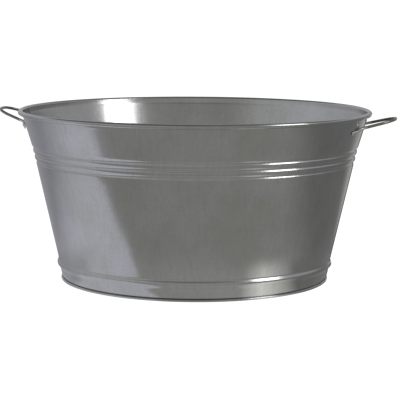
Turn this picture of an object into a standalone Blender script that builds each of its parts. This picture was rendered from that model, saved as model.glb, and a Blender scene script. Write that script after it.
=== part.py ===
# Galvanised sheet-steel water tub with a wired rim, swaged grooves, a recessed base and two bent-wire handles.
# Frame: +Z up, origin on the floor at the tub's axis, handles on the X axis, metres.
import math

import bmesh
import bpy
from mathutils import Matrix, Vector

MM = 0.001

# Overall size
RIM_RADIUS = 275 * MM           # outside of the rolled rim
RIM_HEIGHT = 265 * MM           # top of the rolled rim
HEM_RADIUS = 209.6 * MM         # outside of the rolled foot hem

# Sheet and clearances
SHEET = 0.7 * MM
CLEARANCE = 0.3 * MM            # kept between pieces that touch
SEGMENTS = 48                   # facets around the tub
STEP_ANGLE = math.tau / SEGMENTS

# Wall: outer face without its grooves and beads
FOOT_RADIUS = 205.75 * MM       # where the wall's line meets the floor
LOWER_TAPER = 0.2268            # radius gained per unit of height
TAPER_BREAK_Z = 205 * MM
UPPER_TAPER = 0.30
NECK_Z = 256 * MM               # where the wall turns up into the rim
SKIRT_END_Z = 9 * MM            # where the foot skirt turns into the hem

# Rolled edges
RIM_CURL = 3.75 * MM
HEM_CURL = 2.4 * MM
CURL_STEP = math.radians(45)
RIM_WIRE_RADIUS = 2.4 * MM
HEM_WIRE_RADIUS = 1.1 * MM
WIRE_SIDES = 8

# Three swaged grooves round the upper wall, with a low ridge between each two
GROOVE_PITCH = 10.55 * MM
GROOVE_TOP_Z = 207.5 * MM       # middle of the highest groove
GROOVE_COUNT = 3
GROOVE_DEPTH = 1.4 * MM         # from the wall's line
RIDGE_RISE = 0.35 * MM

# Bead that locks the base
LOCK_Z = 25.5 * MM
LOCK_HEIGHT = 3.0 * MM
LOCK_WIDTH = 14 * MM

# Lapped side seams
SEAM_ANGLE = 0.0008             # half the gap between the two sheets, in radians
JOGGLE_ANGLE = 0.012            # where a sheet starts to step out over the other
LAP_STEP = 1.2 * MM

# Base
BASE_Z = 28 * MM                # upper face of the base at its edge
BASE_PANEL_RISE = 3 * MM        # the raised middle stiffens it
BASE_PANEL_RADIUS = 160 * MM
BASE_PANEL_SLOPE = 6 * MM
BASE_CORNER = 1.2 * MM
FLANGE_END_Z = 11 * MM
FLANGE_GAP = 0.35 * MM
SEAL_RADIUS = 1.5 * MM
SEAL_SIDES = 6

# Handles
HANDLE_WIRE = 2.25 * MM         # wire radius
HANDLE_FOOT_Z = 238.5 * MM      # at the end of a welded foot
HANDLE_FOOT_SPREAD = 79 * MM    # half the distance between the ends of the two feet
FOOT_STEPS = 3                  # straight pieces that follow the wall's curve
HANDLE_ELBOW_Z = 243.7 * MM
HANDLE_HALF_SPREAD = 45.7 * MM  # at the elbows
HANDLE_HALF_GRIP = 30.6 * MM    # half width of the hand grip, before its corners are rounded
HANDLE_REACH = 313.5 * MM       # outermost point, from the tub's axis
RIGHT_RISE = math.radians(14)   # each handle was bent up by hand
LEFT_RISE = math.radians(19.5)
WELD_GAP = 0.5 * MM             # between a foot and the wall
ELBOW_BEND = 5 * MM
GRIP_BEND = 34 * MM
BEND_STEPS = 5


def wall_line(z):
    # Outer radius of the wall at height z, without grooves or beads.
    low = min(z, TAPER_BREAK_Z)
    high = max(z - TAPER_BREAK_Z, 0)
    return FOOT_RADIUS + LOWER_TAPER * low + UPPER_TAPER * high


def lock_bead(z):
    # Rise of the locking bead over the wall's line, a raised cosine.
    offset = (z - LOCK_Z) / LOCK_WIDTH
    if abs(offset) >= 0.5:
        return 0
    return LOCK_HEIGHT * math.cos(math.pi * offset) ** 2


def inner_face(z):
    return wall_line(z) + lock_bead(z) - SHEET


def tangent_angle(point, centre, radius, side):
    # Angle, seen from the centre, at which a line from the point touches the circle.
    across = point[0] - centre[0]
    up = point[1] - centre[1]
    return math.atan2(up, across) + side * math.acos(radius / math.hypot(across, up))


def arc_point(centre, radius, angle):
    return (centre[0] + radius * math.cos(angle), centre[1] + radius * math.sin(angle))


def rim_centre():
    return (RIM_RADIUS - RIM_CURL, RIM_HEIGHT - RIM_CURL)


def hem_centre():
    # The curl is an octagon with a flat facet on the floor and one on its outer side.
    apothem = HEM_CURL * math.cos(CURL_STEP / 2)
    return (HEM_RADIUS - apothem, apothem)


def rim_curl_points(neck):
    # From the neck over the top and round the wire, ending clear of the wall.
    start = tangent_angle(neck, rim_centre(), RIM_CURL, -1) % math.tau
    angles = [start] + [math.radians(135) - CURL_STEP * k for k in range(7)]
    return [arc_point(rim_centre(), RIM_CURL, angle) for angle in angles]


def hem_curl_points(skirt_end):
    # From the skirt inwards, under and round the wire, ending clear of the skirt.
    start = tangent_angle(skirt_end, hem_centre(), HEM_CURL, 1)
    angles = [start] + [math.radians(157.5) + CURL_STEP * k for k in range(7)]
    angles.append(angles[-1] + CURL_STEP / 2)
    return [arc_point(hem_centre(), HEM_CURL, angle) for angle in angles]


def upper_groove_points():
    # Grooves and ridges take turns, each with two shoulders an eighth of a pitch from its middle.
    shoulder = GROOVE_PITCH / 8
    top = GROOVE_TOP_Z
    points = [(inner_face(top + 3 * shoulder), top + 3 * shoulder)]
    for half_pitch in range(2 * GROOVE_COUNT - 1):
        middle = top - half_pitch * GROOVE_PITCH / 2
        depth = RIDGE_RISE if half_pitch % 2 else -GROOVE_DEPTH
        for z in (middle + shoulder, middle - shoulder):
            points.append((inner_face(z) + depth, z))
    end = points[-1][1] - 2 * shoulder
    points.append((inner_face(end), end))
    return points


def lock_bead_points():
    heights = [LOCK_Z + LOCK_WIDTH * part for part in (1 / 2, 1 / 4, 1 / 8, -1 / 8, -1 / 4, -1 / 2)]
    return [(inner_face(z), z) for z in heights]


def wall_profile():
    # Inner face of the wall, which is the visible face of both curls, from the rim's end to the hem's end.
    neck = (inner_face(NECK_Z), NECK_Z)
    skirt_end = (inner_face(SKIRT_END_Z), SKIRT_END_Z)
    points = rim_curl_points(neck)[::-1]
    points.append(neck)
    points += upper_groove_points()
    points += lock_bead_points()
    points.append(skirt_end)
    points += hem_curl_points(skirt_end)
    return points


def profile_in_bmesh(bm, points):
    verts = [bm.verts.new((radius, 0, z)) for radius, z in points]
    return [bm.edges.new(pair) for pair in zip(verts, verts[1:])]


def spin_on(bm, edges, angle, steps):
    # Turns the edges about the tub's axis and returns the edges of the last column.
    verts = list({vert for edge in edges for vert in edge.verts})
    result = bmesh.ops.spin(
        bm, geom=verts + list(edges), cent=(0, 0, 0), axis=(0, 0, 1), angle=angle, steps=steps)
    return [item for item in result["geom_last"] if isinstance(item, bmesh.types.BMEdge)]


def radially(vert, radius, turn=0):
    # Moves a vertex to a radius after turning it about the axis.
    flat = Matrix.Rotation(turn, 3, "Z") @ Vector((vert.co.x, vert.co.y, 0))
    flat = flat.normalized() * radius
    vert.co = (flat.x, flat.y, vert.co.z)


def add_lap(bm, seam_edges):
    # The plain stretch of the wall steps out by a sheet and runs on over the other half's edge.
    slack = 0.1 * MM
    low = SKIRT_END_Z - slack
    high = NECK_Z + slack
    lap_edges = [edge for edge in seam_edges if all(low < vert.co.z < high for vert in edge.verts)]
    for vert in {vert for edge in lap_edges for vert in edge.verts}:
        radially(vert, vert.co.xy.length + LAP_STEP)
    extruded = bmesh.ops.extrude_edge_only(bm, edges=lap_edges)
    half_step = STEP_ANGLE / 2
    for vert in [item for item in extruded["geom"] if isinstance(item, bmesh.types.BMVert)]:
        sheet_radius = vert.co.xy.length - LAP_STEP
        radially(vert, sheet_radius * math.cos(half_step) + LAP_STEP, half_step)


def wall_mesh():
    # Half the wall, from the seam at +X round by +Y to the seam at -X.
    bm = bmesh.new()
    edges = profile_in_bmesh(bm, wall_profile())
    bmesh.ops.rotate(bm, verts=bm.verts, cent=(0, 0, 0), matrix=Matrix.Rotation(SEAM_ANGLE, 3, "Z"))
    column = spin_on(bm, edges, math.pi - STEP_ANGLE, SEGMENTS // 2 - 1)
    column = spin_on(bm, column, STEP_ANGLE - JOGGLE_ANGLE - SEAM_ANGLE, 1)
    column = spin_on(bm, column, JOGGLE_ANGLE - SEAM_ANGLE, 1)
    add_lap(bm, column)
    bmesh.ops.recalc_face_normals(bm, faces=bm.faces)
    mesh = bpy.data.meshes.new("wall_half")
    bm.to_mesh(mesh)
    bm.free()
    mesh.shade_smooth()
    mesh.set_sharp_from_angle(angle=math.radians(35))
    return mesh


def base_profile():
    # Upper face of the base, from the axis out over its shoulder and down the flange inside the skirt.
    shoulder_z = LOCK_Z + LOCK_WIDTH / 8
    edge = inner_face(shoulder_z) - FLANGE_GAP
    panel_z = BASE_Z + BASE_PANEL_RISE
    points = [
        (0, panel_z),
        (BASE_PANEL_RADIUS, panel_z),
        (BASE_PANEL_RADIUS + BASE_PANEL_SLOPE, BASE_Z),
        (edge - BASE_CORNER, BASE_Z),
        (edge, shoulder_z),
    ]
    flange = [LOCK_Z - LOCK_WIDTH / 8, LOCK_Z - LOCK_WIDTH / 4, LOCK_Z - LOCK_WIDTH / 2, FLANGE_END_Z]
    points += [(inner_face(z) - FLANGE_GAP, z) for z in flange]
    return points


def add_object(name, data, material, collection, parent):
    part = bpy.data.objects.new(name, data)
    collection.objects.link(part)
    part.parent = parent
    if not data.materials:
        data.materials.append(material)
    return part


def add_sheet_thickness(part):
    # The modelled face is the side seen from above, so the sheet's thickness goes behind it.
    thickness = part.modifiers.new("sheet", "SOLIDIFY")
    thickness.thickness = SHEET
    thickness.offset = -1
    thickness.use_quality_normals = True


def add_base(material, collection, parent):
    bm = bmesh.new()
    profile_in_bmesh(bm, base_profile())
    mesh = bpy.data.meshes.new("base_profile")
    bm.to_mesh(mesh)
    bm.free()
    base = add_object("base_plate", mesh, material, collection, parent)
    turned = base.modifiers.new("turned", "SCREW")
    turned.axis = "Z"
    turned.steps = SEGMENTS
    turned.render_steps = SEGMENTS
    turned.use_merge_vertices = True
    turned.merge_threshold = 0.0001
    add_sheet_thickness(base)
    return base


def add_ring(name, major, minor, z, sides, material, collection, parent):
    bpy.ops.mesh.primitive_torus_add(
        major_segments=SEGMENTS, minor_segments=sides, major_radius=major, minor_radius=minor,
        location=(0, 0, z))
    ring = bpy.context.object
    ring.name = name
    for owner in list(ring.users_collection):
        owner.objects.unlink(ring)
    collection.objects.link(ring)
    ring.parent = parent
    ring.data.name = name
    ring.data.materials.append(material)
    ring.data.shade_smooth()
    return ring


def rounded_corner(before, corner, after, radius):
    # Points along the arc that rounds a corner of a bent wire.
    back = (before - corner).normalized()
    ahead = (after - corner).normalized()
    half_angle = back.angle(ahead) / 2
    centre = corner + (back + ahead).normalized() * (radius / math.sin(half_angle))
    tangent_length = radius / math.tan(half_angle)
    first = corner + back * tangent_length - centre
    last = corner + ahead * tangent_length - centre
    sweep = first.angle(last)
    axis = first.cross(last).normalized()
    points = []
    for step in range(BEND_STEPS + 1):
        turn = Matrix.Rotation(sweep * step / BEND_STEPS, 3, axis)
        points.append(centre + turn @ first)
    return points


def foot_point(part):
    # Centre of the wire where a foot lies along the wall, from its end at 0 to the elbow at 1.
    z = HANDLE_FOOT_Z + (HANDLE_ELBOW_Z - HANDLE_FOOT_Z) * part
    across = HANDLE_FOOT_SPREAD + (HANDLE_HALF_SPREAD - HANDLE_FOOT_SPREAD) * part
    radius = wall_line(z) + (HANDLE_WIRE + WELD_GAP) * math.hypot(1, UPPER_TAPER)
    return Vector((math.sqrt(radius ** 2 - across ** 2), across, z))


def handle_route(rise):
    # Along the wall on one foot, out to the grip, across it, and back to the other foot.
    foot = [foot_point(step / FOOT_STEPS) for step in range(FOOT_STEPS)]
    elbow = foot_point(1)
    grip_x = HANDLE_REACH - HANDLE_WIRE
    grip_z = HANDLE_ELBOW_Z + (grip_x - elbow.x) * math.tan(rise)
    grip_corner = Vector((grip_x, HANDLE_HALF_GRIP, grip_z))
    middle = Vector((grip_x, 0, grip_z))
    half = foot + rounded_corner(foot[-1], elbow, grip_corner, ELBOW_BEND)
    half += rounded_corner(elbow, grip_corner, middle, GRIP_BEND)
    return half + [Vector((point.x, -point.y, point.z)) for point in half[::-1]]


def handle_curve(rise):
    curve = bpy.data.curves.new("handle_wire", "CURVE")
    curve.dimensions = "3D"
    curve.bevel_depth = HANDLE_WIRE
    curve.bevel_resolution = 2
    curve.use_fill_caps = True
    route = handle_route(rise)
    spline = curve.splines.new("POLY")
    spline.points.add(len(route) - 1)
    for point, place in zip(spline.points, route):
        point.co = (*place, 1)
    spline.use_smooth = True
    return curve


def add_material(name, colour, roughness, metallic):
    material = bpy.data.materials.new(name)
    material.use_nodes = True
    shader = material.node_tree.nodes["Principled BSDF"]
    shader.inputs["Base Color"].default_value = (*colour, 1)
    shader.inputs["Roughness"].default_value = roughness
    shader.inputs["Metallic"].default_value = metallic
    return material


def clear_scene():
    for thing in list(bpy.data.objects):
        bpy.data.objects.remove(thing, do_unlink=True)


def build():
    clear_scene()
    collection = bpy.data.collections.new("water_tub")
    bpy.context.scene.collection.children.link(collection)
    frame = bpy.data.objects.new("water_tub_frame", None)
    collection.objects.link(frame)

    zinc_sheet = add_material("zinc_sheet", (0.42, 0.43, 0.42), 0.34, 1)
    zinc_base = add_material("zinc_base", (0.40, 0.41, 0.40), 0.38, 1)
    edge_wire = add_material("edge_wire", (0.36, 0.36, 0.35), 0.5, 1)
    handle_zinc = add_material("handle_zinc", (0.30, 0.30, 0.27), 0.36, 1)
    sealant = add_material("sealant", (0.42, 0.42, 0.40), 0.7, 0)

    half_wall = wall_mesh()
    for name, turn in (("wall_rear", 0), ("wall_front", math.pi)):
        wall = add_object(name, half_wall, zinc_sheet, collection, frame)
        wall.rotation_euler.z = turn
        add_sheet_thickness(wall)

    add_base(zinc_base, collection, frame)
    seal_z = BASE_Z + CLEARANCE + SEAL_RADIUS
    seal_ring = inner_face(seal_z) - CLEARANCE - SEAL_RADIUS - 2 * CLEARANCE
    add_ring("base_sealant", seal_ring, SEAL_RADIUS, seal_z, SEAL_SIDES, sealant, collection, frame)
    add_ring("rim_wire", rim_centre()[0], RIM_WIRE_RADIUS, rim_centre()[1], WIRE_SIDES,
             edge_wire, collection, frame)
    add_ring("foot_wire", hem_centre()[0], HEM_WIRE_RADIUS, hem_centre()[1], WIRE_SIDES,
             edge_wire, collection, frame)

    for name, rise, turn in (("handle_right", RIGHT_RISE, 0), ("handle_left", LEFT_RISE, math.pi)):
        handle = add_object(name, handle_curve(rise), handle_zinc, collection, frame)
        handle.rotation_euler.z = turn


build()
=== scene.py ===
import math
import bmesh
import bpy
from mathutils import Matrix, Vector


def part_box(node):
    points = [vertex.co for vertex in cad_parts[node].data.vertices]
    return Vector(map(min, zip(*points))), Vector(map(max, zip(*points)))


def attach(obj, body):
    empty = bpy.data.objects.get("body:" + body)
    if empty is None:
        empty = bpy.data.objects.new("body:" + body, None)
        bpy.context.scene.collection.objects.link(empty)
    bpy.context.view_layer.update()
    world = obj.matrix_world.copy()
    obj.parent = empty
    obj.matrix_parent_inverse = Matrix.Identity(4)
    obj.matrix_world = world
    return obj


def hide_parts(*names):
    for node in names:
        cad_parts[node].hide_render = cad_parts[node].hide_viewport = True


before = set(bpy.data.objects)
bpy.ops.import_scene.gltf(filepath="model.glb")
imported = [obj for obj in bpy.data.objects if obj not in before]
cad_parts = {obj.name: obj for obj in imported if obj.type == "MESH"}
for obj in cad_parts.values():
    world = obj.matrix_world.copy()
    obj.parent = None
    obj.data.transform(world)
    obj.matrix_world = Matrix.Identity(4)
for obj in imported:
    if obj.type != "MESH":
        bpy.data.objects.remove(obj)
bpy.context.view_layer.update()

mm = 0.001
scene = bpy.context.scene
print("frame loaded:", ", ".join(sorted(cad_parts)))


# node maths written as expressions

class Wire:
    # one output socket; arithmetic on it adds Math nodes to its tree
    def __init__(self, tree, socket):
        self.tree = tree
        self.socket = socket

    def maths(self, operation, *others):
        values = {k: other for k, other in enumerate([self, *others])}
        return add(self.tree, "ShaderNodeMath", {"operation": operation}, values)

    def __add__(self, other):
        return self.maths("ADD", other)

    def __radd__(self, other):
        return self.maths("ADD", other)

    def __sub__(self, other):
        return self.maths("SUBTRACT", other)

    def __rsub__(self, other):
        return add(self.tree, "ShaderNodeMath", {"operation": "SUBTRACT"}, {0: other, 1: self})

    def __mul__(self, other):
        return self.maths("MULTIPLY", other)

    def __rmul__(self, other):
        return self.maths("MULTIPLY", other)

    def root(self):
        return self.maths("POWER", 0.5)

    def turnWith(self, other):
        return self.maths("ARCTAN2", other)

    def between(self, low, high):
        # 0 below low, 1 above high, eased in between
        return add(self.tree, "ShaderNodeMapRange", {"interpolation_type": "SMOOTHSTEP"},
                   {"Value": self, "From Min": low, "From Max": high})


def add(tree, kind, settings=None, values=None, output=0):
    # a node of any type: settings first, then sockets by name or place
    node = tree.nodes.new(kind)
    for name, setting in (settings or {}).items():
        if name == "stops":
            elements = node.color_ramp.elements
            while len(elements) < len(setting):
                elements.new(0.5)
            for element, (place, colour) in zip(elements, setting):
                element.position = place
                element.color = (*colour, 1)
        else:
            setattr(node, name, setting)
    for name, value in (values or {}).items():
        if isinstance(value, Wire):
            tree.links.new(value.socket, node.inputs[name])
        else:
            node.inputs[name].default_value = value
    return Wire(tree, node.outputs[output]) if node.outputs else node


def splitPlace(tree, place):
    # the x, y and z of a place
    first = add(tree, "ShaderNodeSeparateXYZ", values={0: place})
    return [Wire(tree, socket) for socket in first.socket.node.outputs]


def noise(tree, place, scale, detail, roughness):
    return add(tree, "ShaderNodeTexNoise",
               values={"Vector": place, "Scale": scale, "Detail": detail, "Roughness": roughness})


def ramp(tree, place, stops):
    return add(tree, "ShaderNodeValToRGB", {"stops": stops}, {0: place})


def mixColour(tree, factor, first, second, blend="MIX"):
    settings = {"data_type": "RGBA", "blend_type": blend}
    return add(tree, "ShaderNodeMix", settings, {0: factor, 6: first, 7: second}, output=2)


def rgb(r, g, b):
    return (r, g, b, 1)


# shared modelling helpers

def polar(centre, radius, degrees):
    turn = math.radians(degrees)
    return (centre[0] + radius * math.cos(turn), centre[1] + radius * math.sin(turn))


def arc(centre, radius, start, end, steps):
    return [polar(centre, radius, start + (end - start) * k / steps) for k in range(steps + 1)]


def touchAngle(point, centre, radius, side):
    # where a line from the point touches the circle, in degrees
    across, up = point[0] - centre[0], point[1] - centre[1]
    return math.degrees(math.atan2(up, across) + side * math.acos(radius / math.hypot(across, up)))


def eachOnce(items):
    # without repeats, in the order they come in
    return list(dict.fromkeys(items))


def drawProfile(bm, points):
    verts = [bm.verts.new((r, 0, z)) for r, z in points]
    return [bm.edges.new(pair) for pair in zip(verts, verts[1:])]


def turnOn(bm, edges, degrees, steps):
    # spins a column of edges about the tub's axis and gives back the last column
    verts = eachOnce(vert for edge in edges for vert in edge.verts)
    spun = bmesh.ops.spin(bm, geom=verts + list(edges), cent=(0, 0, 0), axis=(0, 0, 1),
                          angle=math.radians(degrees), steps=steps)
    return [item for item in spun["geom_last"] if isinstance(item, bmesh.types.BMEdge)]


def finishPiece(name, bm, material, node, smoothAngle=40):
    bmesh.ops.recalc_face_normals(bm, faces=bm.faces)
    mesh = bpy.data.meshes.new(name)
    bm.to_mesh(mesh)
    bm.free()
    mesh.shade_smooth()
    mesh.set_sharp_from_angle(angle=math.radians(smoothAngle))
    mesh.materials.append(material)
    piece = bpy.data.objects.new(name, mesh)
    scene.collection.objects.link(piece)
    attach(piece, "root")
    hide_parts(node)
    return piece


def ringPiece(name, rings, wire, sides, steps, material, node):
    # a round wire bent into a closed ring, or several
    bm = bmesh.new()
    for radius, z in rings:
        place = Matrix.Translation((radius, 0, z)) @ Matrix.Rotation(math.radians(90), 4, "X")
        circle = bmesh.ops.create_circle(bm, segments=sides, radius=wire, matrix=place)
        edges = eachOnce(edge for vert in circle["verts"] for edge in vert.link_edges)
        bmesh.ops.spin(bm, geom=circle["verts"] + edges, cent=(0, 0, 0), axis=(0, 0, 1),
                       angle=math.tau, steps=steps, use_merge=True)
    return finishPiece(name, bm, material, node, smoothAngle=80)


def giveThickness(piece, sheet):
    thickness = piece.modifiers.new("sheet", "SOLIDIFY")
    thickness.thickness = sheet
    thickness.offset = -1
    thickness.use_even_offset = True


# zinc finishes: clouds and fine crystals in the colour and gloss, a faint waviness in the sheet

zincLook = {
    "colour": (0.385, 0.388, 0.366),
    "cloudColour": (0.425, 0.426, 0.428),
    "roughness": 0.185,
    "roughnessSpread": 0.06,
    "grainSize": 420,           # crystals per metre
    "grainHeight": 0.016 * mm,
    "grainDark": 0.05,
    "grainRoughness": 0.10,
    "fineScale": 0.55,          # a finer grain between the crystals, as a share of their number
    "cloudScale": 14,
    "waveScale": 9,             # waves and streaks run up and down, and this is round the tub
    "waveHeight": 0.10 * mm,
    "streakScale": 38,
    "streakDark": 0.05,
    "upright": 0.8,             # how close together they are up the wall
}
baseLook = dict(zincLook, roughness=0.27, waveHeight=0.06 * mm)
# the handles' feet carry a painted highlight, a lighter colour near the wall
handleLook = dict(zincLook, colour=(0.20, 0.20, 0.165), cloudColour=(0.27, 0.27, 0.245), roughness=0.30,
                  grainSize=900, waveHeight=0.05 * mm, footHighlightColour=(0.66, 0.66, 0.64),
                  footLightReach=(277 * mm, 272 * mm))
wireLook = dict(zincLook, colour=(0.24, 0.24, 0.225), cloudColour=(0.30, 0.30, 0.29), roughness=0.42,
                waveHeight=0.03 * mm)


def zincMaterial(name, look):
    material = bpy.data.materials.new(name)
    material.use_nodes = True
    tree = material.node_tree
    tree.nodes.clear()
    place = add(tree, "ShaderNodeTexCoord", output=3)
    x, y, z = splitPlace(tree, place)
    roll = add(tree, "ShaderNodeCombineXYZ", values={0: y.turnWith(x), 1: z * look["upright"], 2: 0})
    clouds = noise(tree, place, look["cloudScale"], 3, 0.55)
    grain = add(tree, "ShaderNodeTexVoronoi", {"feature": "SMOOTH_F1"},
                {"Vector": place, "Scale": look["grainSize"], "Smoothness": 0.4})
    fine = noise(tree, place, look["grainSize"] * look["fineScale"], 2, 0.6)
    waves = noise(tree, roll, look["waveScale"], 2.5, 0.5)
    streaks = noise(tree, roll, look["streakScale"], 2, 0.6)

    colour = mixColour(tree, clouds.between(0.35, 0.65), rgb(*look["colour"]), rgb(*look["cloudColour"]))
    if "footHighlightColour" in look:
        # painted highlight: brighter where the wire lies against the wall
        footHighlight = (x * x + y * y).root().between(*look["footLightReach"])
        colour = mixColour(tree, footHighlight, colour, rgb(*look["footHighlightColour"]))
    darker = 1 - (streaks.between(0.35, 0.75) * look["streakDark"]
                  + fine.between(0.4, 0.75) * look["grainDark"])
    shade = add(tree, "ShaderNodeCombineColor", values={0: darker, 1: darker, 2: darker})
    colour = mixColour(tree, 1, colour, shade, "MULTIPLY")
    roughness = (look["roughness"] + (clouds - 0.5) * look["roughnessSpread"]
                 + (fine - 0.5) * look["grainRoughness"])

    height = (grain * 0.5 + fine * 0.5) * look["grainHeight"] + waves * look["waveHeight"]
    bump = add(tree, "ShaderNodeBump", values={"Height": height, "Distance": 1.0, "Strength": 1.0})
    shader = add(tree, "ShaderNodeBsdfPrincipled", values={
        "Base Color": colour, "Metallic": 1.0, "Roughness": roughness, "Normal": bump})
    add(tree, "ShaderNodeOutputMaterial", values={0: shader})
    return material


# tub wall: a line for the outer face, with grooves, a bead and rolled edges on it

wall = {
    "sheet": 0.7 * mm,
    "footRadius": 205.75 * mm,      # where the wall's line meets the floor
    "lowerTaper": 0.2268,
    "upperTaper": 0.30,
    "taperBreak": 205 * mm,
    "skirtFlare": 0.8 * mm,         # the skirt stands out from the wall's line
    "flareStart": 15 * mm,
    "flareFade": 18 * mm,
    "neckHeight": 256 * mm,
    "neckStep": 0.15 * mm,          # the wall steps out a little just under the rim
    "neckBend": 3.4 * mm,
    "skirtEnd": 6.0 * mm,
    "rimRadius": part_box("wall_front")[1].x,
    "rimHeight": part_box("wall_front")[1].z,
    "rimRoll": 3.75 * mm,
    "rimTuck": -128,                # degrees round the roll where the sheet ends
    "hemRadius": 209.5 * mm,
    "hemRoll": 2.0 * mm,
    "hemTuck": 458,
    "groovePitch": 10.55 * mm,
    "grooveTop": 207.5 * mm,        # middle of the highest groove
    "grooveCount": 3,
    "grooveDepth": 1.5 * mm,
    "grooveWidth": 8.4 * mm,
    "ridgeRise": 0.35 * mm,
    "lockHeight": 26.0 * mm,        # crest of the bead that holds the base
    "lockRise": 3.4 * mm,
    "lockAbove": 8.4 * mm,
    "lockBelow": 7.6 * mm,
    "lapStep": 0.8 * mm,            # one sheet runs over the other at the side seams
    "lapDegrees": 2.6,
    "seamGap": 0.04,                # degrees between the two halves, each side
    "columns": [                    # degrees where a stretch ends, and between its columns
        (17.5, 1.2), (24, 0.3), (156, 2), (162.5, 0.3), (179.4, 1.2), (179.96, 0.2)],
    "dimpleDegrees": 20.9,          # dents beside the welded feet of the handles
    "dimpleHeight": 237 * mm,
    "dimpleRadius": 4.6 * mm,
    "dimpleDepth": 1.9 * mm,
}


def wallLine(z):
    low = min(z, wall["taperBreak"])
    flare = wall["skirtFlare"] * (1 - min(max((z - wall["flareStart"]) / wall["flareFade"], 0), 1))
    return (wall["footRadius"] + wall["lowerTaper"] * low + flare
            + wall["upperTaper"] * max(z - wall["taperBreak"], 0))


def swell(offset, halfWidth):
    # a rounded rise of 1 in the middle and 0 from the half width on
    return math.cos(math.pi * offset / (2 * halfWidth)) ** 2 if abs(offset) < halfWidth else 0


def grooves(z):
    pitch, total = wall["groovePitch"], 0
    for k in range(wall["grooveCount"]):
        middle = wall["grooveTop"] - k * pitch
        total -= wall["grooveDepth"] * swell(z - middle, wall["grooveWidth"] / 2)
        if k:
            total += wall["ridgeRise"] * swell(z - middle - pitch / 2, pitch / 3)
    return total


def lockBead(z):
    offset = z - wall["lockHeight"]
    return wall["lockRise"] * swell(offset, wall["lockAbove"] if offset > 0 else wall["lockBelow"])


def wallFace(z):
    neck = wall["neckStep"] * swell(wall["neckHeight"] - z, wall["neckBend"])
    return wallLine(z) + grooves(z) + lockBead(z) + neck - wall["sheet"]


def heights(top, bottom, steps):
    return [top + (bottom - top) * k / steps for k in range(steps)]


rimCentre = (wall["rimRadius"] - wall["rimRoll"], wall["rimHeight"] - wall["rimRoll"])
hemCentre = (wall["hemRadius"] - wall["hemRoll"], wall["hemRoll"])


def wallProfile():
    # inner face of the sheet, from the end of the rim's roll to the end of the hem's roll
    neck = (wallFace(wall["neckHeight"]), wall["neckHeight"])
    skirtEnd = (wallFace(wall["skirtEnd"]), wall["skirtEnd"])
    rimStart = touchAngle(neck, rimCentre, wall["rimRoll"], -1) % 360
    hemStart = touchAngle(skirtEnd, hemCentre, wall["hemRoll"], 1)
    points = arc(rimCentre, wall["rimRoll"], wall["rimTuck"], rimStart, 26)
    grooveStart = wall["grooveTop"] + wall["grooveWidth"] / 2
    grooveEnd = grooveStart - wall["groovePitch"] * (wall["grooveCount"] - 1) - wall["grooveWidth"]
    lockStart = wall["lockHeight"] + wall["lockAbove"]
    lockEnd = wall["lockHeight"] - wall["lockBelow"]
    between = (heights(wall["neckHeight"], grooveStart, 30) + heights(grooveStart, grooveEnd, 44)
               + heights(grooveEnd, lockStart, 12) + heights(lockStart, lockEnd, 20)
               + heights(lockEnd, wall["skirtEnd"], 4))
    points += [(wallFace(z), z) for z in between]
    points += arc(hemCentre, wall["hemRoll"], hemStart, wall["hemTuck"], 24)
    return points


def moveRadially(vert, change):
    flat = Vector((vert.co.x, vert.co.y, 0))
    vert.co += flat.normalized() * change


def addLap(bm, seamEdges):
    # the plain stretch steps out by a sheet and runs on over the other half
    low, high = wall["skirtEnd"] - 0.1 * mm, wall["neckHeight"] - 2 * mm
    plain = [edge for edge in seamEdges if all(low < vert.co.z < high for vert in edge.verts)]
    for vert in eachOnce(vert for edge in plain for vert in edge.verts):
        moveRadially(vert, wall["lapStep"])
    turnOn(bm, plain, wall["lapDegrees"], 3)


def pressDimples(bm):
    # one dent beside each end of the two handles, pressed into the sheet
    for turn in (wall["dimpleDegrees"], 180 - wall["dimpleDegrees"]):
        radius, z = wallFace(wall["dimpleHeight"]), wall["dimpleHeight"]
        middle = Vector((*polar((0, 0), radius, turn), z))
        for vert in bm.verts:
            reach = (vert.co - middle).length
            if reach < wall["dimpleRadius"]:
                moveRadially(vert, -wall["dimpleDepth"] * swell(reach, wall["dimpleRadius"]))


def makeWall(name, turn, node, material):
    # columns from the seam at +X to the seam at -X, close together round the dents
    bm = bmesh.new()
    column = drawProfile(bm, wallProfile())
    done = wall["seamGap"]
    bmesh.ops.rotate(bm, verts=bm.verts, cent=(0, 0, 0), matrix=Matrix.Rotation(math.radians(done), 3, "Z"))
    for end, step in wall["columns"]:
        column = turnOn(bm, column, end - done, round((end - done) / step))
        done = end
    addLap(bm, column)
    pressDimples(bm)
    bmesh.ops.rotate(bm, verts=bm.verts, cent=(0, 0, 0), matrix=Matrix.Rotation(math.radians(turn), 3, "Z"))
    piece = finishPiece(name, bm, material, node)
    giveThickness(piece, wall["sheet"])
    return piece


zincSheet = zincMaterial("zincSheet", zincLook)
makeWall("wallRearSheet", 0, "wall_rear", zincSheet)
makeWall("wallFrontSheet", 180, "wall_front", zincSheet)
print("walls spun, lapped and dented")


# base pan, the sealing bead on it, and the wires inside the rolled edges

base = {
    "sheet": 0.7 * mm,
    "edgeHeight": 28 * mm,
    "panelHeight": 31 * mm,
    "panelRadius": 160 * mm,
    "panelRings": (0, 40 * mm, 80 * mm, 120 * mm, 150 * mm),
    "panelSlope": 7 * mm,
    "corner": 1.6 * mm,
    "flangeGap": 0.35 * mm,
    "flangeEnd": 11 * mm,
}


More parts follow.
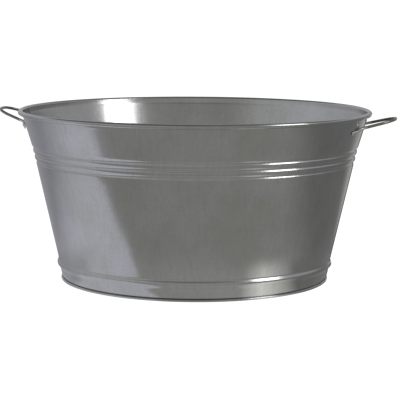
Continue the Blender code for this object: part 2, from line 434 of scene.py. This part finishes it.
def makeBase():
    shoulder = base["edgeHeight"] - base["corner"]
    edge = wallFace(shoulder) - base["flangeGap"]
    points = [(r, base["panelHeight"]) for r in base["panelRings"]]
    for k in range(13):
        fall = (1 - math.cos(math.pi * k / 12)) / 2
        drop = (base["panelHeight"] - base["edgeHeight"]) * fall
        points.append((base["panelRadius"] + base["panelSlope"] * k / 12, base["panelHeight"] - drop))
    points += arc((edge - base["corner"], shoulder), base["corner"], 90, 15, 6)
    points += [(wallFace(z) - base["flangeGap"], z) for z in heights(shoulder, base["flangeEnd"], 14)]
    bm = bmesh.new()
    edges = drawProfile(bm, points)
    bmesh.ops.spin(bm, geom=bm.verts[:] + edges, cent=(0, 0, 0), axis=(0, 0, 1),
                   angle=math.tau, steps=144, use_merge=True)
    bmesh.ops.remove_doubles(bm, verts=bm.verts, dist=0.001 * mm)
    piece = finishPiece("basePan", bm, zincMaterial("zincBase", baseLook), "base_plate")
    giveThickness(piece, base["sheet"])


wires = {                           # radii of the wires in the rolled edges
    "rim": 2.4 * mm,
    "foot": 1.1 * mm,
}

sealant = {
    "radius": 1.5 * mm,
    "gap": 0.3 * mm,
    "size": 0.90,
    "swells": [(17, 0.06, 0), (41, 0.04, 1)],           # how many round the tub, how much, where from
    "colour": (0.40, 0.40, 0.375),
    "dustColour": (0.30, 0.295, 0.27),
    "roughness": 0.62,
    "dustScale": 60,
    "dustHeight": 0.25 * mm,
    "skinScale": 500,
    "skinHeight": 0.08 * mm,
}


def sealantMaterial():
    material = bpy.data.materials.new("sealant")
    material.use_nodes = True
    tree = material.node_tree
    tree.nodes.clear()
    place = add(tree, "ShaderNodeTexCoord", output=3)
    dust = noise(tree, place, sealant["dustScale"], 4, 0.6)
    skin = noise(tree, place, sealant["skinScale"], 3, 0.6)
    colour = mixColour(tree, dust.between(0.45, 0.75), rgb(*sealant["colour"]), rgb(*sealant["dustColour"]))
    height = dust * sealant["dustHeight"] + skin * sealant["skinHeight"]
    bump = add(tree, "ShaderNodeBump", values={"Height": height, "Distance": 1.0, "Strength": 1.0})
    shader = add(tree, "ShaderNodeBsdfPrincipled", values={
        "Base Color": colour, "Roughness": sealant["roughness"] + dust * 0.15, "Normal": bump})
    add(tree, "ShaderNodeOutputMaterial", values={0: shader})
    return material


def makeSealant():
    z = base["edgeHeight"] + sealant["gap"] + sealant["radius"]
    radius = wallFace(z) - 3 * sealant["gap"] - sealant["radius"]
    piece = ringPiece("sealBead", [(radius, z)], sealant["radius"], 12, 240,
                      sealantMaterial(), "base_sealant")
    for vert in piece.data.vertices:    # a hand-laid bead swells and thins along its run
        turn = math.atan2(vert.co.y, vert.co.x)
        size = sum((more * math.sin(count * turn + start) for count, more, start in sealant["swells"]),
                   sealant["size"])
        middle = Vector((math.cos(turn) * radius, math.sin(turn) * radius, z))
        vert.co = middle + (vert.co - middle) * size


makeBase()
makeSealant()
edgeWire = zincMaterial("edgeWire", wireLook)
ringPiece("rimWireRing", [rimCentre], wires["rim"], 16, 180, edgeWire, "rim_wire")
ringPiece("footWireRing", [hemCentre], wires["foot"], 12, 180, edgeWire, "foot_wire")
print("base, sealing bead and edge wires made")


# handles: round wire bent to a grip, its two feet turned out along the wall, flattened and welded

handle = {
    "wire": 2.25 * mm,
    "sides": 20,
    "gripHalf": 30.6 * mm,          # half width before the corners are rounded
    "gripBend": 34 * mm,
    "elbowHeight": 243.7 * mm,
    "elbowHalf": 45.7 * mm,
    "elbowBend": 5 * mm,
    "footHeight": 238.5 * mm,
    "footHalf": 79 * mm,
    "weldGap": 0.5 * mm,
    "flatDegrees": 3.4,             # how much of a foot is hammered flat
    "flatThickness": 0.55,
    "flatWidth": 1.35,
    "tip": [(0.8 * mm, 0.86), (0.5 * mm, 0.72), (0.2 * mm, 0.5)],       # steps of the rounded end
    "gripSteps": 18,
    "elbowSteps": 10,
    "footSteps": 26,
}


def footPoint(part):
    # middle of the wire, from a foot's end at 0 to its elbow at 1
    z = handle["footHeight"] + (handle["elbowHeight"] - handle["footHeight"]) * part
    across = handle["footHalf"] + (handle["elbowHalf"] - handle["footHalf"]) * part
    radius = wallLine(z) + (handle["wire"] + handle["weldGap"]) * math.hypot(1, wall["upperTaper"])
    return Vector((math.sqrt(radius ** 2 - across ** 2), across, z))


def cornerArc(before, corner, after, radius):
    # centre, axis, sweep and the two ends of the arc that rounds a corner
    back, ahead = (before - corner).normalized(), (after - corner).normalized()
    halfAngle = back.angle(ahead) / 2
    centre = corner + (back + ahead).normalized() * (radius / math.sin(halfAngle))
    first = corner + back * (radius / math.tan(halfAngle))
    last = corner + ahead * (radius / math.tan(halfAngle))
    axis = (first - centre).cross(last - centre).normalized()
    return centre, axis, (first - centre).angle(last - centre), first, last


def pushOn(bm, edges, move, scale=1.0):
    grown = bmesh.ops.extrude_edge_only(bm, edges=edges)["geom"]
    verts = [item for item in grown if isinstance(item, bmesh.types.BMVert)]
    middle = sum((vert.co for vert in verts), Vector()) / len(verts)
    bmesh.ops.scale(bm, vec=(scale,) * 3, space=Matrix.Translation(-middle), verts=verts)
    bmesh.ops.translate(bm, vec=move, verts=verts)
    return [item for item in grown if isinstance(item, bmesh.types.BMEdge)
            and all(vert in verts for vert in item.verts)]


def bendOn(bm, edges, centre, axis, sweep, steps, drop=(0, 0, 0)):
    verts = eachOnce(vert for edge in edges for vert in edge.verts)
    spun = bmesh.ops.spin(bm, geom=verts + list(edges), cent=centre, axis=axis, dvec=drop,
                          angle=sweep, steps=steps)
    return [item for item in spun["geom_last"] if isinstance(item, bmesh.types.BMEdge)]


def hammerFoot(bm, startTurn, endTurn):
    # follows the wall's taper down the foot, then flattens its end against the wall
    topGap = footPoint(1).xy.length
    endGap = footPoint(0).xy.length
    for vert in bm.verts:
        turn = math.atan2(vert.co.y, vert.co.x)
        if turn < startTurn:
            continue
        part = min((turn - startTurn) / (endTurn - startTurn), 1.05)
        moveRadially(vert, (endGap - topGap) * part)
        middle = topGap + (endGap - topGap) * part
        middleHeight = handle["elbowHeight"] + (handle["footHeight"] - handle["elbowHeight"]) * part
        flatStart = endTurn - math.radians(handle["flatDegrees"])
        flat = min(max((turn - flatStart) / (endTurn - flatStart), 0), 1)
        flat = flat * flat * (3 - 2 * flat)
        inner = middle - handle["wire"]
        thickness = 1 + (handle["flatThickness"] - 1) * flat
        moveRadially(vert, (vert.co.xy.length - inner) * (thickness - 1))
        vert.co.z = middleHeight + (vert.co.z - middleHeight) * (1 + (handle["flatWidth"] - 1) * flat)


def makeHandle(name, node, turn, material):
    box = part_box(node)
    gripX = max(abs(box[0].x), abs(box[1].x)) - handle["wire"]
    gripZ = box[1].z - handle["wire"]
    middle = Vector((gripX, 0, gripZ))
    gripCorner = Vector((gripX, handle["gripHalf"], gripZ))
    elbow = footPoint(1)
    along = elbow + (footPoint(0.9) - elbow).normalized() * 20 * mm
    gripArc = cornerArc(middle, gripCorner, elbow, handle["gripBend"])
    elbowArc = cornerArc(gripCorner, elbow, along, handle["elbowBend"])

    bm = bmesh.new()
    place = Matrix.Translation(middle) @ Matrix.Rotation(math.radians(-90), 4, "X")
    circle = bmesh.ops.create_circle(bm, segments=handle["sides"], radius=handle["wire"], matrix=place)
    edges = eachOnce(edge for vert in circle["verts"] for edge in vert.link_edges)
    edges = pushOn(bm, edges, gripArc[3] - middle)
    edges = bendOn(bm, edges, *gripArc[:3], handle["gripSteps"])
    edges = pushOn(bm, edges, elbowArc[3] - gripArc[4])
    edges = bendOn(bm, edges, *elbowArc[:3], handle["elbowSteps"])
    startTurn = math.atan2(elbowArc[4].y, elbowArc[4].x)
    endTurn = math.atan2(footPoint(0).y, footPoint(0).x)
    steps = handle["footSteps"]
    fall = (handle["footHeight"] - elbowArc[4].z) / steps
    edges = bendOn(bm, edges, (0, 0, 0), (0, 0, 1), endTurn - startTurn, steps, (0, 0, fall))
    endWay = Vector((-math.sin(endTurn), math.cos(endTurn), 0))
    for step, scale in handle["tip"]:
        edges = pushOn(bm, edges, endWay * step, scale)
    bmesh.ops.edgeloop_fill(bm, edges=edges)
    hammerFoot(bm, startTurn, endTurn)
    bmesh.ops.mirror(bm, geom=bm.verts[:] + bm.edges[:] + bm.faces[:], axis="Y", merge_dist=0.01 * mm)
    bmesh.ops.rotate(bm, verts=bm.verts, cent=(0, 0, 0), matrix=Matrix.Rotation(math.radians(turn), 3, "Z"))
    finishPiece(name, bm, material, node, smoothAngle=60)


handleZinc = zincMaterial("handleZinc", handleLook)
makeHandle("handleRightWire", "handle_right", 0, handleZinc)
makeHandle("handleLeftWire", "handle_left", 180, handleZinc)
print("handles bent and hammered")


# studio

studio = {
    "cameraDistance": 2.47844,
    "cameraHeight": 0.46211,
    "cameraTurn": 9.7,
    "pitch": 7.8218,
    "roll": 0.31895,
    "sideStep": 0.00844,
    "lens": 143.15,
    "paper": 0.45,
    "paperGlow": 0.94,
    "floorSize": 60,
    "lampTurn": 63,                 # the one big soft lamp, to the right of the camera
    "lampDistance": 2.2,
    "lampHeight": 1.25,
    "lampWidth": 0.9,
    "lampTall": 1.1,
    "lampLight": 4.4,
    "lampAim": (0, 0, 0.2),
    # light that the metal reflects, by turn: 0 and 1 behind the tub, 0.5 at the camera, more to its right
    "highStops": [                  # from overhead
        (0.00, (0.30, 0.30, 0.30)), (0.22, (0.20, 0.20, 0.21)), (0.55, (0.20, 0.20, 0.20)),
        (0.68, (0.30, 0.30, 0.30)), (1.00, (0.30, 0.30, 0.30))],
    "roomStops": [                  # from the room
        (0.00, (0.52, 0.52, 0.55)), (0.22, (0.71, 0.72, 0.76)), (0.37, (0.66, 0.67, 0.69)),
        (0.42, (0.47, 0.47, 0.47)), (0.62, (0.47, 0.47, 0.47)), (0.72, (0.55, 0.55, 0.57)),
        (1.00, (0.52, 0.52, 0.55))],
    "horizonStops": [               # from where the room meets the floor
        (0.00, (0.50, 0.50, 0.52)), (0.50, (0.58, 0.58, 0.58)), (0.68, (0.25, 0.25, 0.25)),
        (0.90, (0.25, 0.25, 0.25)), (1.00, (0.50, 0.50, 0.52))],
    "floorStops": [                 # from the floor
        (0.00, (0.45, 0.45, 0.44)), (0.30, (0.38, 0.38, 0.37)), (0.65, (0.42, 0.42, 0.41)),
        (0.72, (0.25, 0.25, 0.25)), (0.85, (0.22, 0.22, 0.22)), (0.90, (0.50, 0.50, 0.49)),
        (1.00, (0.45, 0.45, 0.44))],
    "footStops": [                  # from the floor beside the foot, with the pool of light at the right
        (0.00, (0.40, 0.40, 0.39)), (0.56, (0.50, 0.50, 0.49)), (0.59, (1.40, 1.40, 1.35)),
        (0.65, (0.26, 0.26, 0.25)), (0.90, (0.26, 0.26, 0.25)), (1.00, (0.40, 0.40, 0.39))],
    "paperStops": [                 # from the bright paper laid out on the left
        (0.00, (0.40, 0.40, 0.45)), (0.18, (0.40, 0.40, 0.45)), (0.28, (0.82, 0.82, 0.92)),
        (1.00, (0.82, 0.82, 0.92))],
    "paperEdges": [(0.18, 0.45), (0.25, 0.13)],         # its two straight edges: place and slope
    "paperSoft": 0.006,
    "paperSide": 0.02,
    "paperFade": (0.02, 0.12),      # turns over which it fades in behind the tub
    "paperShade": (0.62, 0.62, 0.62),
    "paperShadeReach": (0.36, 0.24),                    # reach is the distance from the tub's axis
    "paperShadeTurn": (0.345, 0.305),
    "footLightReach": (0.25, 0.32),      # where the foot's light gives way to the floor's
    "poolReach": 0.235,             # the pool of light leans round with its reach from here
    "poolLean": 0.3,
    # a painted contact shadow: the glow turns dark right under the tub's edge
    "underShadowReach": (0.196, 0.214),
    "underShadowColour": (0.13, 0.13, 0.13),
    "horizonHeight": (0.08, 0.26),
    "roomHeight": (0.46, 0.62),
}


def fromCamera(degrees, distance, height):
    # a place round the tub by its turn from the camera's side, clockwise to the right
    turn = math.radians(studio["cameraTurn"] + degrees)
    return Vector((math.sin(turn) * distance, -math.cos(turn) * distance, height))


def addCamera():
    data = bpy.data.cameras.new("camera")
    data.lens = studio["lens"]
    data.clip_end = 200
    camera = bpy.data.objects.new("camera", data)
    scene.collection.objects.link(camera)
    turn = math.radians(studio["cameraTurn"])
    right = Vector((math.cos(turn), math.sin(turn), 0))
    place = fromCamera(0, studio["cameraDistance"], studio["cameraHeight"]) + right * studio["sideStep"]
    tilt = Matrix.Rotation(math.radians(90 - studio["pitch"]), 4, "X")
    roll = Matrix.Rotation(math.radians(studio["roll"]), 4, "Z")
    camera.matrix_world = Matrix.Translation(place) @ Matrix.Rotation(turn, 4, "Z") @ tilt @ roll
    scene.camera = camera


def addLamp():
    data = bpy.data.lights.new("softLamp", "AREA")
    data.shape = "RECTANGLE"
    data.size = studio["lampWidth"]
    data.size_y = studio["lampTall"]
    data.energy = studio["lampLight"] * math.pi * data.size * data.size_y
    lamp = bpy.data.objects.new("softLamp", data)
    scene.collection.objects.link(lamp)
    lamp.location = fromCamera(studio["lampTurn"], studio["lampDistance"], studio["lampHeight"])
    lamp.rotation_euler = (Vector(studio["lampAim"]) - lamp.location).to_track_quat("-Z", "Y").to_euler()
    lamp.visible_camera = False


def aroundTub(tree, place):
    # turn from the camera's side as 0 to 1, and the two level directions of the studio
    x, y, z = splitPlace(tree, place)
    turn = math.radians(studio["cameraTurn"])
    right = x * math.cos(turn) + y * math.sin(turn)
    toward = x * math.sin(turn) - y * math.cos(turn)
    return right.turnWith(toward) * (1 / math.tau) + 0.5, right, toward, z


def addDisc(name, height):
    bm = bmesh.new()
    bmesh.ops.create_circle(bm, cap_ends=True, segments=96, radius=studio["floorSize"])
    bmesh.ops.translate(bm, vec=(0, 0, height), verts=bm.verts)
    mesh = bpy.data.meshes.new(name)
    bm.to_mesh(mesh)
    bm.free()
    disc = bpy.data.objects.new(name, mesh)
    scene.collection.objects.link(disc)
    material = bpy.data.materials.new(name)
    material.use_nodes = True
    mesh.materials.append(material)
    return disc, material.node_tree


def addFloor():
    floor, tree = addDisc("studioFloor", 0)
    shader = tree.nodes["Principled BSDF"]
    shader.inputs["Base Color"].default_value = rgb(*[studio["paper"]] * 3)
    shader.inputs["Roughness"].default_value = 0.9
    shader.inputs["Specular IOR Level"].default_value = 0.0
    shader.inputs["Emission Color"].default_value = rgb(1, 1, 1)
    shader.inputs["Emission Strength"].default_value = studio["paperGlow"]
    floor.visible_glossy = False


def addFloorGlow():
    # what the polished metal sees of the lit floor, for reflections only
    glow, tree = addDisc("floorGlow", 0.2 * mm)
    for kind in ("camera", "diffuse", "transmission", "shadow", "volume_scatter"):
        setattr(glow, "visible_" + kind, False)
    tree.nodes.clear()
    place = add(tree, "ShaderNodeTexCoord", output=3)
    turn, right, toward, _ = aroundTub(tree, place)
    reach = (right * right + toward * toward).root()
    wide = ramp(tree, turn, studio["floorStops"])
    foot = ramp(tree, turn - (reach - studio["poolReach"]) * studio["poolLean"], studio["footStops"])
    lit = mixColour(tree, reach.between(*studio["footLightReach"]), foot, wide)
    # the paper lies to the left, inside its two edges, and the tub shades it beside the foot
    first, second = (start - right * slope for start, slope in studio["paperEdges"])
    soft, side = studio["paperSoft"], studio["paperSide"]
    inside = (first.maths("MINIMUM", second) - toward).between(-soft, soft)
    inside = inside * (0 - right).between(-side, side) * turn.between(*studio["paperFade"])
    paper = ramp(tree, turn, studio["paperStops"])
    shaded = mixColour(tree, 1, paper, rgb(*studio["paperShade"]), "MULTIPLY")
    shade = reach.between(*studio["paperShadeReach"]) * turn.between(*studio["paperShadeTurn"])
    paper = mixColour(tree, shade, paper, shaded)
    lit = mixColour(tree, inside, lit, paper)
    # painted shadow: the glow is dark right under the tub's edge
    lit = mixColour(tree, reach.between(*studio["underShadowReach"]), rgb(*studio["underShadowColour"]), lit)
    shader = add(tree, "ShaderNodeEmission", values={"Color": lit, "Strength": 1.0})
    add(tree, "ShaderNodeOutputMaterial", values={0: shader})


def addWorld():
    world = bpy.data.worlds.new("studio")
    scene.world = world
    world.use_nodes = True
    tree = world.node_tree
    tree.nodes.clear()
    place = add(tree, "ShaderNodeTexCoord", output=0)
    turn, _, _, z = aroundTub(tree, place)
    room = ramp(tree, turn, studio["roomStops"])
    low = ramp(tree, turn, studio["horizonStops"])
    room = mixColour(tree, z.between(*studio["horizonHeight"]), low, room)
    high = ramp(tree, turn, studio["highStops"])
    whole = mixColour(tree, z.between(*studio["roomHeight"]), room, high)
    light = add(tree, "ShaderNodeBackground", values={"Color": whole, "Strength": 1.0})
    add(tree, "ShaderNodeOutputWorld", values={0: light})


addCamera()
addFloor()
addFloorGlow()
addWorld()
addLamp()
scene.view_settings.view_transform = "Standard"
print("studio set")
